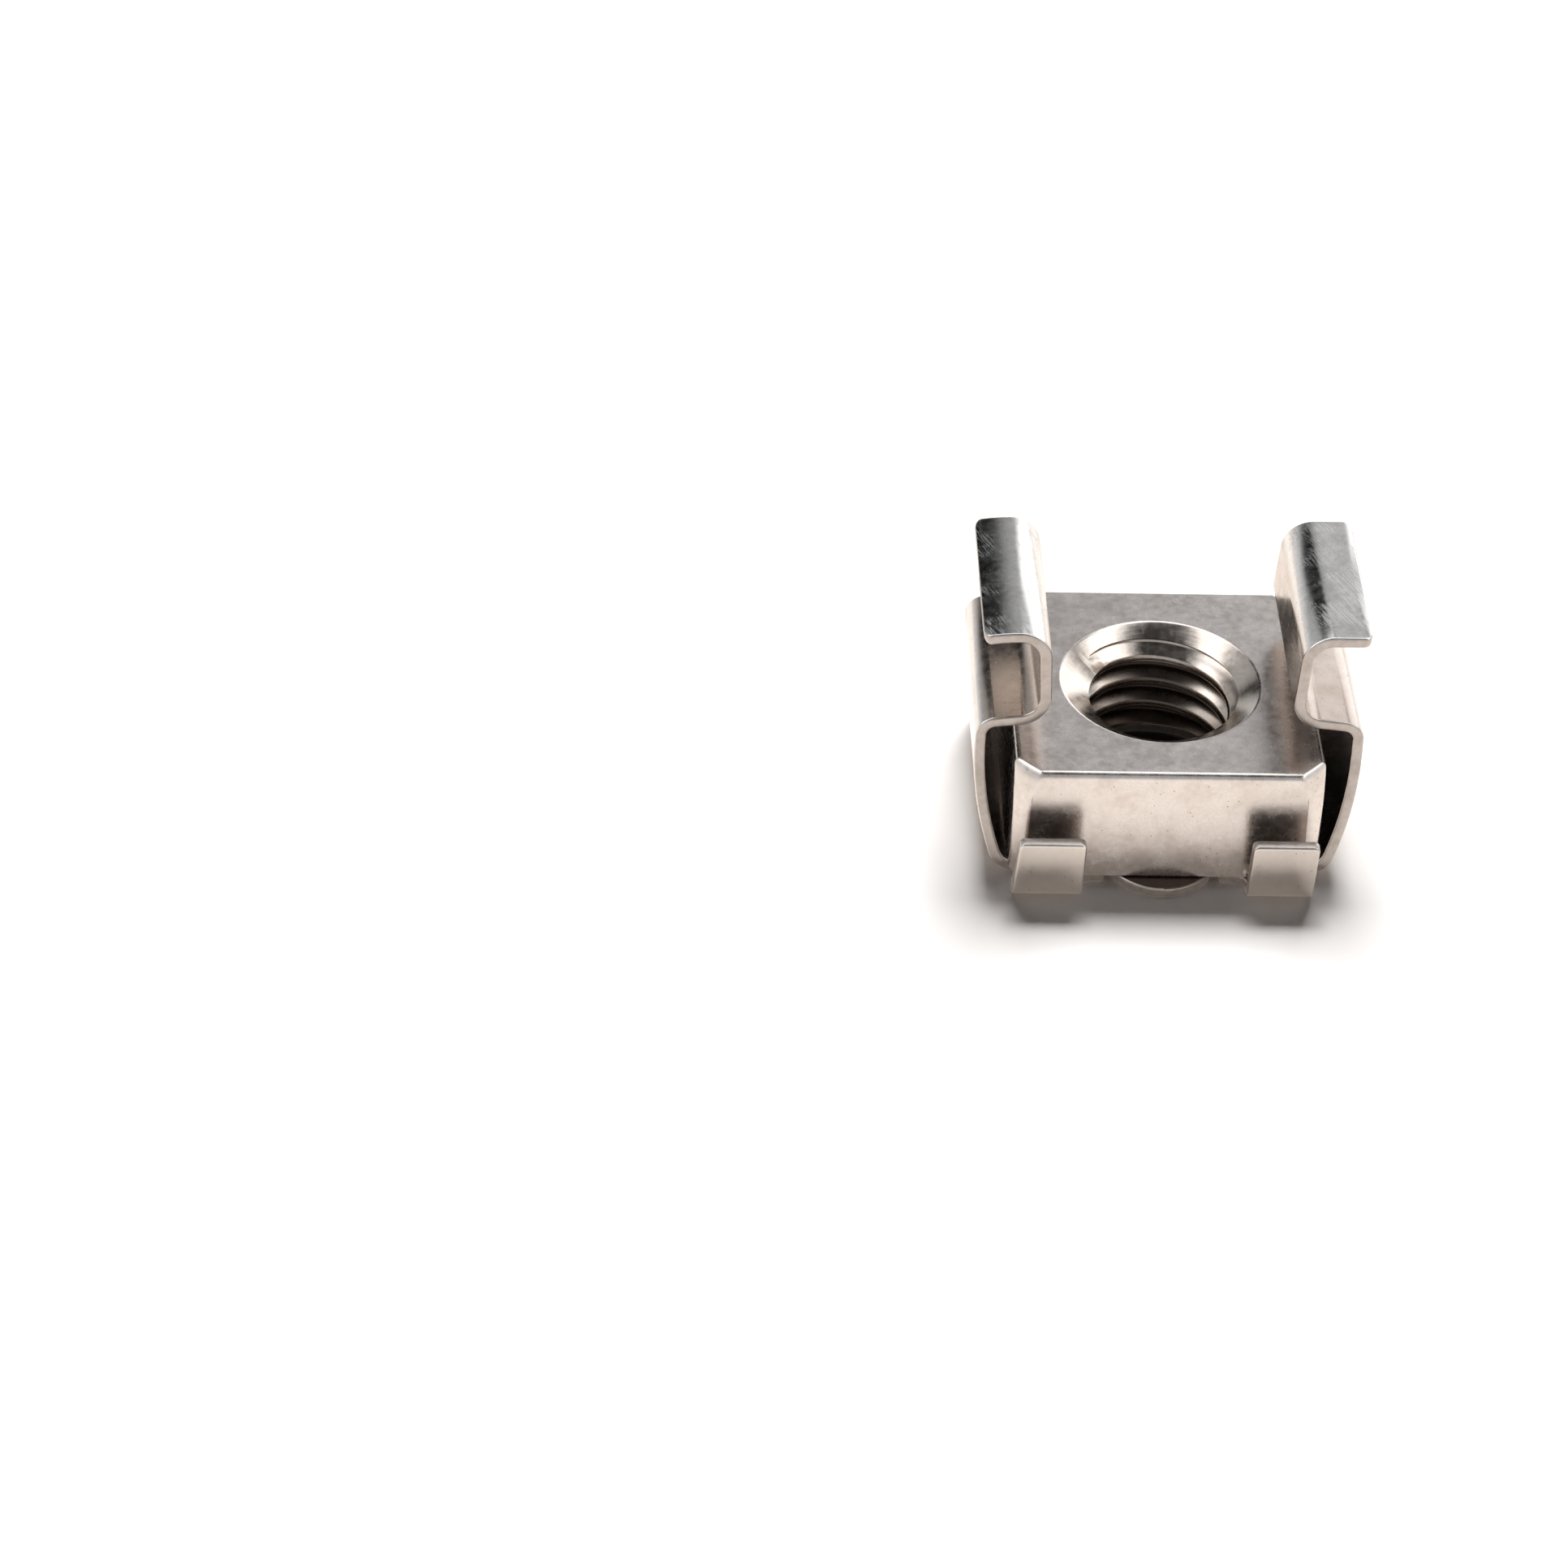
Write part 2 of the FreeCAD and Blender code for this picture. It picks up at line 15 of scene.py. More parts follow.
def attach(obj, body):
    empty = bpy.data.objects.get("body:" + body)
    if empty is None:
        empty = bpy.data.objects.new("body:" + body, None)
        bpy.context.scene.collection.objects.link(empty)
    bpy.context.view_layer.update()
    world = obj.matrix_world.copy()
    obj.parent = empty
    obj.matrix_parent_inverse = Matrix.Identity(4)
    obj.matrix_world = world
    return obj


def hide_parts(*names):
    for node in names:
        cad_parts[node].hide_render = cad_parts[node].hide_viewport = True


MM = 0.001

# How close two places have to be, in metres, to count as one
SAME_PLACE = 0.002 * MM
DOUBLES = 0.0005 * MM
CUT_SLACK = 0.0001 * MM
MIRROR_GAP = 0.001 * MM
RIM_GAP = 0.01 * MM
BORE_SLACK = 0.001 * MM

log = logging.getLogger("cage_nut")

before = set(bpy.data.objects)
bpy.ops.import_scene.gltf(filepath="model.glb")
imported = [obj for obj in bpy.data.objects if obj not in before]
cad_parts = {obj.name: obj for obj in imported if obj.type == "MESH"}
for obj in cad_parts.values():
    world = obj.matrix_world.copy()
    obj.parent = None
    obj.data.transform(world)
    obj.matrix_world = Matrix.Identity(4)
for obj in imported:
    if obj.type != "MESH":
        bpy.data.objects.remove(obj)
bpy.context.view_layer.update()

Colour = tuple[float, float, float]
Span = tuple[float, float]
Socket = bpy.types.NodeSocket


class Element(Enum):
    """What a selection in edit mode picks."""

    VERTEX = "VERT"
    EDGE = "EDGE"
    FACE = "FACE"


class Cut(Enum):
    """How a cutter shapes the piece that it meets."""

    TAKE_AWAY = "DIFFERENCE"
    KEEP_COMMON = "INTERSECT"


class Sum(Enum):
    """What a math node works out."""

    PLUS = "ADD"
    MINUS = "SUBTRACT"
    TIMES = "MULTIPLY"
    MOST = "MAXIMUM"
    LEAST = "MINIMUM"
    SIZE = "ABSOLUTE"
    ROOT = "SQRT"
    ANGLE_OF_SIDES = "ARCTAN2"
    ANGLE_OF_RISE = "ARCSINE"


class Mixed(Enum):
    """What a mix node mixes: its data type, the places of its two inputs, and that of its output."""

    NUMBERS = ("FLOAT", 2, 3, 0)
    COLOURS = ("RGBA", 6, 7, 2)


def metres(*sizes: float) -> tuple[float, ...]:
    """Turns sizes in millimetres into metres."""
    return tuple(size * MM for size in sizes)


def near(a: float, b: float, gap: float = SAME_PLACE) -> bool:
    """Says whether two lengths in metres are the same."""
    return abs(a - b) < gap


def toned(colour: Colour, share: float) -> Colour:
    """Makes a colour lighter or darker by a share, and never lighter than white."""
    return tuple(min(1.0, part * share) for part in colour)


def start_fresh() -> None:
    """Leaves edit mode and deselects every object."""
    if bpy.context.object and bpy.context.object.mode != "OBJECT":
        bpy.ops.object.mode_set(mode="OBJECT")
    bpy.ops.object.select_all(action="DESELECT")


class HandMade:
    """A mesh that is shaped with the modelling tools, one step at a time."""

    def __init__(self, name: str) -> None:
        """Takes the primitive that was just added as the start of a piece.

        Args:
            name: The piece's name.
        """
        self.piece = bpy.context.object
        self.piece.name = name
        self.piece.data.name = name
        bpy.ops.object.transform_apply(location=True, rotation=True, scale=True)

    def activate(self) -> None:
        """Makes the piece the only selected object, in object mode."""
        start_fresh()
        bpy.context.view_layer.objects.active = self.piece
        self.piece.select_set(True)

    def edit(self) -> None:
        """Opens the piece in edit mode, with vertices to pick."""
        self.activate()
        bpy.ops.object.mode_set(mode="EDIT")
        bpy.ops.mesh.select_mode(type="VERT")

    def done(self) -> None:
        """Goes back to object mode."""
        bpy.ops.object.mode_set(mode="OBJECT")

    def pick(self, kind: Element, wanted: Callable[[object], bool]) -> None:
        """Selects the elements that a test wants, and nothing else.

        Args:
            kind: Vertices, edges or faces.
            wanted: The test, on one element of the mesh.

        Raises:
            ValueError: If the test wants none of them.
        """
        bpy.ops.mesh.select_mode(type=kind.value)
        bpy.ops.mesh.select_all(action="DESELECT")
        mesh = bmesh.from_edit_mesh(self.piece.data)
        group = {Element.VERTEX: mesh.verts, Element.EDGE: mesh.edges, Element.FACE: mesh.faces}[kind]
        found = [element for element in group if wanted(element)]
        if not found:
            raise ValueError(f"{self.piece.name}: nothing to pick")
        for element in found:
            element.select_set(True)
        bmesh.update_edit_mesh(self.piece.data)

    def pick_whole(self, kind: Element, fits: Callable[[object], bool]) -> None:
        """Selects the edges or faces whose every vertex fits, and nothing else.

        Args:
            kind: Edges or faces.
            fits: The test, on one vertex.
        """
        self.pick(kind, lambda element: all(fits(v) for v in element.verts))

    def round_off(self, radius: float, segments: int, corners: bool = False) -> None:
        """Bevels what is selected.

        Args:
            radius: The bevel's reach in mm.
            segments: The number of its steps.
            corners: Whether it is flat corners that are rounded, and not edges.
        """
        bpy.ops.mesh.bevel(offset=radius * MM, segments=segments, affect="VERTICES" if corners else "EDGES",
                           clamp_overlap=False)

    def merge_doubles(self) -> None:
        """Selects everything, and merges vertices that lie in one place."""
        bpy.ops.mesh.select_all(action="SELECT")
        bpy.ops.mesh.remove_doubles(threshold=DOUBLES)

    def tidy(self) -> None:
        """Merges doubles and turns every face outwards."""
        self.merge_doubles()
        bpy.ops.mesh.normals_make_consistent(inside=False)

    def finish_with(self, kind: str, **settings: object) -> None:
        """Adds a modifier, sets it and applies it.

        Args:
            kind: The modifier's type.
            settings: Its settings, by name.
        """
        self.activate()
        bpy.ops.object.modifier_add(type=kind)
        modifier = self.piece.modifiers[-1]
        for name, value in settings.items():
            setattr(modifier, name, value)
        bpy.ops.object.modifier_apply(modifier=modifier.name)

    def round_sharp_edges(self, width: float, segments: int, angle: float) -> None:
        """Bevels, by a width in mm, the edges that turn by more than an angle in degrees."""
        self.finish_with("BEVEL", width=width * MM, segments=segments, limit_method="ANGLE",
                         angle_limit=math.radians(angle), use_clamp_overlap=False)

    def cut_by(self, cutter: "HandMade", how: Cut) -> None:
        """Shapes the piece by another solid, which is used up.

        Args:
            cutter: The other solid.
            how: Whether the common part goes or stays.
        """
        self.finish_with("BOOLEAN", operation=how.value, object=cutter.piece, solver="EXACT")
        bpy.data.objects.remove(cutter.piece)

    def smooth(self, angle: float) -> None:
        """Shades the piece smooth, apart from its sharp edges, with flat faces kept flat.

        Args:
            angle: The angle in degrees past which an edge stays sharp.
        """
        self.activate()
        bpy.ops.object.shade_smooth_by_angle(angle=math.radians(angle))
        self.finish_with("WEIGHTED_NORMAL", keep_sharp=True)


class Outline(HandMade):
    """A flat outline that is drawn vertex by vertex, from its first corner."""

    def __init__(self, name: str, x: float, y: float, z: float) -> None:
        """Puts down the first corner.

        Args:
            name: The piece's name.
            x: Place of the corner, in metres.
            y: Place of the corner, in metres.
            z: Height of the sheet's middle, in metres.
        """
        start_fresh()
        bpy.ops.mesh.primitive_plane_add(size=MM, location=(x, y, z))
        super().__init__(name)
        self.edit()
        bpy.ops.mesh.select_all(action="SELECT")
        bpy.ops.mesh.merge(type="CENTER")
        self.pen = Vector((x, y, z))

    def line(self, x: float, y: float) -> None:
        """Draws a straight side to a place given in millimetres."""
        corner = Vector((x * MM, y * MM, self.pen.z))
        bpy.ops.mesh.extrude_vertices_move(TRANSFORM_OT_translate={"value": corner - self.pen})
        self.pen = corner

    def arc(self, x: float, y: float, turn: float, steps: int) -> None:
        """Draws an arc round a centre.

        Args:
            x: Place of the centre, in millimetres.
            y: Place of the centre, in millimetres.
            turn: Degrees to turn, anticlockwise seen from above.
            steps: Number of chords.
        """
        centre = Vector((x * MM, y * MM, self.pen.z))
        bpy.ops.mesh.spin(steps=steps, angle=-math.radians(turn), center=centre, axis=(0, 0, 1))
        self.pen = centre + Matrix.Rotation(math.radians(turn), 3, "Z") @ (self.pen - centre)

    def fill(self) -> None:
        """Closes the outline and fills it with one face."""
        self.merge_doubles()
        bpy.ops.mesh.select_all(action="SELECT")
        bpy.ops.mesh.edge_face_add()


class NodeBench:
    """The nodes of one material or world, added one by one."""

    def __init__(self, owner: bpy.types.Material | bpy.types.World) -> None:
        """Starts from the nodes that a new material or world comes with.

        Args:
            owner: The material or world.
        """
        owner.use_nodes = True
        self.owner = owner
        self.tree = owner.node_tree

    def add(self, kind: str, **inputs: object) -> bpy.types.Node:
        """Adds a node and fills or links its inputs.

        Args:
            kind: The node's type, without its prefix.
            inputs: What each input gets, by its name with underscores for spaces.

        Returns:
            The node.
        """
        node = self.tree.nodes.new("ShaderNode" + kind)
        for name, value in inputs.items():
            self.feed(node.inputs[name.replace("_", " ")], value)
        return node

    def feed(self, socket: Socket, value: object) -> None:
        """Links a socket to another one, or sets its value."""
        if isinstance(value, Socket):
            self.tree.links.new(value, socket)
        elif isinstance(value, tuple) and socket.type == "RGBA":
            socket.default_value = (*value, 1.0)
        else:
            socket.default_value = value

    def math(self, kind: Sum, first: object, second: object = 0.0) -> Socket:
        """Adds a sum of two numbers or sockets and gives its result."""
        node = self.add("Math")
        node.operation = kind.value
        self.feed(node.inputs[0], first)
        self.feed(node.inputs[1], second)
        return node.outputs[0]

    def plus(self, first: object, second: object) -> Socket:
        """Adds two values."""
        return self.math(Sum.PLUS, first, second)

    def minus(self, first: object, second: object) -> Socket:
        """Takes the second value from the first."""
        return self.math(Sum.MINUS, first, second)

    def times(self, first: object, second: object) -> Socket:
        """Multiplies two values."""
        return self.math(Sum.TIMES, first, second)

    def most(self, *values: object) -> Socket:
        """Gives the largest of two or more values."""
        largest = values[0]
        for value in values[1:]:
            largest = self.math(Sum.MOST, largest, value)
        return largest

    def spread(self, value: object, low: float, high: float, to_low: float = 0.0,
               to_high: float = 1.0) -> Socket:
        """Maps one range of a value smoothly onto another.

        Args:
            value: The socket to map.
            low: Where the range starts.
            high: Where it ends.
            to_low: What the start becomes.
            to_high: What the end becomes.

        Returns:
            The mapped value.
        """
        node = self.add("MapRange", Value=value, From_Min=low, From_Max=high, To_Min=to_low, To_Max=to_high)
        node.interpolation_type = "SMOOTHSTEP"
        return node.outputs["Result"]

    def fade_in(self, length: object, span: Span, full: float = 1.0) -> Socket:
        """Rises from 0 to full while a length goes through a span in mm."""
        return self.spread(length, *metres(*span), 0.0, full)

    def fade_out(self, length: object, span: Span, full: float = 1.0) -> Socket:
        """Falls from full to 0 while a length goes through a span in mm."""
        return self.spread(length, *metres(*span), full, 0.0)

    def noise(self, where: object, size: float, detail: float, rough: float) -> Socket:
        """Adds a noise whose patches are of a size in mm and gives its value."""
        return self.add("TexNoise", Vector=where, Scale=1 / (size * MM), Detail=detail,
                        Roughness=rough).outputs["Fac"]

    def mix(self, kind: Mixed, share: object, below: object, above: object) -> Socket:
        """Mixes two numbers or two colours.

        Args:
            kind: Numbers or colours.
            share: The share of the one above, from 0 to 1.
            below: The first of them.
            above: The second of them.

        Returns:
            The mixture.
        """
        data_type, first, second, result = kind.value
        node = self.add("Mix")
        node.data_type = data_type
        self.feed(node.inputs[0], share)
        self.feed(node.inputs[first], below)
        self.feed(node.inputs[second], above)
        return node.outputs[result]

    def blend(self, share: object, below: object, above: object) -> Socket:
        """Lays one colour over another by a share and gives the result."""
        return self.mix(Mixed.COLOURS, share, below, above)

    def from_axis(self, where: object) -> Socket:
        """Gives the distance of a place from the upright middle axis."""
        parts = self.add("SeparateXYZ", Vector=where).outputs
        squares = self.plus(self.times(parts["X"], parts["X"]), self.times(parts["Y"], parts["Y"]))
        return self.math(Sum.ROOT, squares)

    def metal(self, tone: object, gloss: object, normal: object) -> None:
        """Sends the colour, roughness and normal to a metal shader."""
        shader = self.tree.nodes["Principled BSDF"]
        shader.inputs["Metallic"].default_value = 1.0
        self.feed(shader.inputs["Base Color"], tone)
        self.feed(shader.inputs["Roughness"], gloss)
        self.feed(shader.inputs["Normal"], normal)

    def replace_shader(self, shader: bpy.types.Node) -> None:
        """Shows another shader in place of the one that came with the material.

        Args:
            shader: The shader, whose own light isn't sampled as a lamp's.
        """
        self.feed(self.tree.nodes["Material Output"].inputs["Surface"], shader.outputs[0])
        self.tree.nodes.remove(self.tree.nodes["Principled BSDF"])
        self.owner.cycles.emission_sampling = "NONE"


@dataclass
class Coat:
    """A metal surface while its layers go on: the nodes that they read, and the look so far."""

    bench: NodeBench
    colour: Colour
    grain_depth: float
    where: Socket
    cloud: Socket
    tone: Socket
    gloss: Socket
    height: Socket
    x: Socket = field(init=False)
    y: Socket = field(init=False)
    z: Socket = field(init=False)

    def __post_init__(self) -> None:
        """Splits the place on the piece into its three directions."""
        parts = self.bench.add("SeparateXYZ", Vector=self.where).outputs
        self.x, self.y, self.z = parts["X"], parts["Y"], parts["Z"]

    def stain(self, share: Socket, colour: Colour, dullness: float) -> None:
        """Lays a colour over the metal and makes it less glossy.

        Args:
            share: How much of it lies where, from 0 to 1.
            colour: The colour.
            dullness: What is added to the roughness where it covers the metal.
        """
        self.tone = self.bench.blend(share, self.tone, colour)
        self.gloss = self.bench.plus(self.gloss, self.bench.times(share, dullness))

    def lift(self, pattern: Socket, rise: float) -> None:
        """Raises the surface by a pattern, and sinks it where the rise in mm is below 0."""
        self.height = self.bench.plus(self.height, self.bench.times(pattern, rise / self.grain_depth))


class Layer(ABC):
    """One mark or film that a finish has picked up. Lengths are in mm and shares from 0 to 1."""

    @abstractmethod
    def lay(self, coat: Coat) -> None:
        """Adds the layer to a coat.

        Args:
            coat: The coat, which changes.
        """


@dataclass(frozen=True)
class Waves(Layer):
    """Shallow waves that rolling has left."""

    size: float
    depth: float

    def lay(self, coat: Coat) -> None:
        """Lifts the surface by a broad noise."""
        coat.lift(coat.bench.noise(coat.where, self.size, 1.0, 0.4), self.depth)


@dataclass(frozen=True)
class WarmFoot(Layer):
    """A warmer tone low down, which fades out over a span of heights."""

    share: float
    colour: Colour = (0.67, 0.595, 0.54)
    heights: Span = (2.6, 4.6)

    def lay(self, coat: Coat) -> None:
        """Tints the low part."""
        foot = coat.bench.fade_out(coat.z, self.heights, self.share)
        coat.tone = coat.bench.blend(foot, coat.tone, self.colour)


@dataclass(frozen=True)
class Pits(Layer):
    """Small dark pits, in a share of the places that one could take."""

    share: float
    gap: float = 0.09
    depth: float = 0.00064
    colour: Colour = (0.28, 0.22, 0.18)
    dullness: float = 0.2
    reach: float = 0.34
    soft_edge: float = 0.12

    def lay(self, coat: Coat) -> None:
        """Draws round dots and sinks them."""
        bench = coat.bench
        cell = bench.add("TexVoronoi", Vector=coat.where, Scale=1 / (self.gap * MM))
        chance = bench.add("SeparateColor", Color=cell.outputs["Color"]).outputs["Red"]
        radius = bench.spread(chance, 1 - self.share, 1.0, 0.0, self.reach)
        pit = bench.spread(bench.minus(cell.outputs["Distance"], radius), -self.soft_edge, 0.0, 1.0, 0.0)
        coat.stain(pit, self.colour, self.dullness)
        coat.lift(pit, -self.depth)


@dataclass(frozen=True)
class Grime(Layer):
    """A patchy brownish film in the hollow of the necks."""

    share: float
    colour: Colour = (0.30, 0.185, 0.11)
    rises: Span = (5.55, 5.9)
    ends: Span = (8.5, 8.85)
    thinnest: float = 0.75
    dullness: float = 0.12

    def lay(self, coat: Coat) -> None:
        """Stains the metal between two heights."""
        bench = coat.bench
        hollow = bench.times(bench.fade_in(coat.z, self.rises), bench.fade_out(coat.z, self.ends))
        patches = bench.spread(coat.cloud, 0.25, 0.75, self.thinnest * self.share, self.share)
        coat.stain(bench.times(hollow, patches), self.colour, self.dullness)


@dataclass(frozen=True)
class BorePaintedShade(Layer):
    """Painted shade: a dark brown film in the thread's grooves, over the bore's back and over its lower end,
    where the deep bore lies in shade.
    """

    share: float
    colour: Colour = (0.055, 0.036, 0.026)
    dullness: float = 0.15
    groove_radii: Span = (2.62, 2.87)
    groove_heights: Span = (4.0, 4.25)
    back_places: Span = (1.7, 2.4)
    back_heights: Span = (3.55, 3.95)
    back_share: float = 0.85
    low_heights: Span = (1.3, 2.9)

    def lay(self, coat: Coat) -> None:
        """Paints the shade over the three places."""
        bench = coat.bench
        groove = bench.times(bench.fade_in(bench.from_axis(coat.where), self.groove_radii),
                             bench.fade_out(coat.z, self.groove_heights))
        back = bench.times(bench.fade_in(coat.y, self.back_places),
                           bench.fade_out(coat.z, self.back_heights, self.back_share))
        low = bench.fade_out(coat.z, self.low_heights)
        # Painted shade: the dark film darkens the deep parts of the bore, in place of the shade that falls there.
        coat.stain(bench.times(bench.most(groove, back, low), self.share), self.colour, self.dullness)


@dataclass(frozen=True)
class TonguePaintedShade(Layer):
    """Painted shade on the upper faces of the two tongues, which lie in shadow under the nut's front face."""

    share: float
    colour: Colour = (0.07, 0.045, 0.035)
    dullness: float = 0.2
    half_widths: Span = (2.2, 2.6)
    heights: Span = (0.28, 0.38)

    def lay(self, coat: Coat) -> None:
        """Paints the shade on the plate's upper face between the tabs."""
        bench = coat.bench
        middle = bench.fade_out(bench.math(Sum.SIZE, coat.x), self.half_widths)
        tongue_shade = bench.times(middle, bench.fade_in(coat.z, self.heights))
        # Painted shade: darkens the tongues' tops, which sit in the nut's shadow.
        coat.stain(bench.times(tongue_shade, self.share), self.colour, self.dullness)


@dataclass(frozen=True)
class Scratches(Layer):
    """Fine scratches along one direction, in degrees from X, on the hooks' level tops."""

    turn: float
    share: float
    width: float = 0.055
    stretch: float = 30.0
    patch_size: float = 1.1
    heights: Span = (8.4, 9.0)
    depth: float = 0.0008
    dark_share: float = 0.35
    dark_tone: float = 0.7
    dullness: float = 0.15

    def lay(self, coat: Coat) -> None:
        """Draws drawn-out noise in patches and sinks it."""
        bench = coat.bench
        along = bench.add("Mapping", Vector=coat.where, Rotation=(0, 0, math.radians(self.turn)),
                          Scale=(self.stretch, 1.0, 1.0))
        along.vector_type = "TEXTURE"
        fine = bench.noise(along.outputs["Vector"], self.width, 2.0, 0.5)
        patch = bench.spread(bench.noise(coat.where, self.patch_size, 1.0, 0.5), 0.42, 0.62)
        fewer = self.share * 0.2
        line = bench.times(bench.spread(fine, 0.62 - fewer, 0.72 - fewer),
                           bench.times(patch, bench.fade_in(coat.z, self.heights)))
        coat.tone = bench.blend(bench.times(line, self.dark_share), coat.tone, toned(coat.colour, self.dark_tone))
        coat.gloss = bench.plus(coat.gloss, bench.times(line, self.dullness))
        coat.lift(line, -self.depth)


@dataclass(frozen=True)
class Rings(Layer):
    """The fine, slightly uneven rings of a turning tool, one every gap in mm of height."""

    gap: float
    depth: float = 0.00025

    def lay(self, coat: Coat) -> None:
        """Lifts the surface by bands, of which the texture draws 20 in 2 pi units."""
        wave = coat.bench.add("TexWave", Vector=coat.where, Scale=2 * math.pi / (20 * self.gap * MM),
                              Distortion=0.6, Detail=1.0, Detail_Scale=400.0)
        wave.bands_direction = "Z"
        coat.lift(wave.outputs["Fac"], self.depth)


@dataclass(frozen=True)
class Finish:
    """A satin nickel finish: its tone, its gloss, and the layers that it has picked up."""

    name: str
    colour: Colour
    shade: Colour
    roughness: float
    layers: tuple[Layer, ...] = ()
    cloud_size: float = 0.9
    cloud_gloss: float = 0.025
    fleck_size: float = 0.24
    fleck_tone: float = 1.12
    grain_size: float = 0.06
    grain_tone: float = 0.8
    grain_depth: float = 0.0008

    def material(self) -> bpy.types.Material:
        """Makes the material.

        Returns:
            The material, with its nodes.
        """
        bench = NodeBench(bpy.data.materials.new(self.name))
        where = bench.add("TexCoord").outputs["Object"]
        cloud = bench.noise(where, self.cloud_size, 3.0, 0.55)
        grain = bench.noise(where, self.grain_size, 2.0, 0.6)
        fleck = bench.noise(where, self.fleck_size, 2.0, 0.5)
        tone = bench.blend(bench.spread(cloud, 0.35, 0.65), self.shade, self.colour)
        tone = bench.blend(bench.spread(fleck, 0.3, 0.7, 0.0, 0.5), tone, toned(self.colour, self.fleck_tone))
        tone = bench.blend(bench.spread(grain, 0.35, 0.65, 0.0, 0.4), tone, toned(self.colour, self.grain_tone))
        gloss = bench.plus(
            bench.spread(cloud, 0.3, 0.7, self.roughness - self.cloud_gloss, self.roughness + self.cloud_gloss),
            bench.spread(fleck, 0.3, 0.7, -self.cloud_gloss, self.cloud_gloss))
        coat = Coat(bench, self.colour, self.grain_depth, where, cloud, tone, gloss, grain)
        for layer in self.layers:
            layer.lay(coat)
        bump = bench.add("Bump", Strength=1.0, Distance=self.grain_depth * MM, Height=coat.height)
        bench.metal(coat.tone, coat.gloss, bump.outputs["Normal"])
        return bench.owner


# The sheet's finish carries painted shade on the tongues, laid by its tongue layer.
SHEET_STEEL = Finish(
    "spring_sheet", (0.66, 0.645, 0.63), (0.59, 0.57, 0.55), 0.18,
    (Waves(1.08, 0.003), WarmFoot(0.6), Pits(0.06), Grime(0.6), TonguePaintedShade(0.95), Scratches(-66, 0.75)))
SHEARED_STEEL = Finish(
    "spring_sheared_edge", (0.46, 0.42, 0.395), (0.36, 0.32, 0.29), 0.33, cloud_size=0.5, grain_depth=0.003)
BLANK_STEEL = Finish(
    "nut_satin", (0.67, 0.62, 0.59), (0.555, 0.50, 0.465), 0.25, (Waves(0.96, 0.006), Pits(0.08)),
    cloud_size=0.8)
# The turned finish carries painted shade in the bore, laid by its bore layer.
TURNED_STEEL = Finish(
    "nut_turned", (0.62, 0.56, 0.51), (0.50, 0.43, 0.37), 0.17, (BorePaintedShade(0.95), Rings(0.09)),
    cloud_gloss=0.03, grain_depth=0.0006)


def wear(piece: bpy.types.Object, *finishes: Finish) -> None:
    """Gives a piece its materials, in the order of its slots."""
    piece.data.materials.clear()
    for finish in finishes:
        piece.data.materials.append(finish.material())


def place(piece: bpy.types.Object, node: str, slot: str) -> None:
    """Lets a finished piece stand for a solid of the frame.

    Args:
        piece: The piece.
        node: The solid that it stands for.
        slot: Not used.
    """
    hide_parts(node)
    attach(piece, "root")
    log.info("%s: %d faces, %d finishes", piece.name, len(piece.data.polygons), len(piece.data.materials))


@dataclass(frozen=True)
class Bend:
    """One bend of the strip, by the radius of its middle in mm and its turn in degrees."""

    radius: float
    turn: float
    steps: int


@dataclass(frozen=True)
class Straight:
    """One straight run of the strip, in mm."""

    length: float


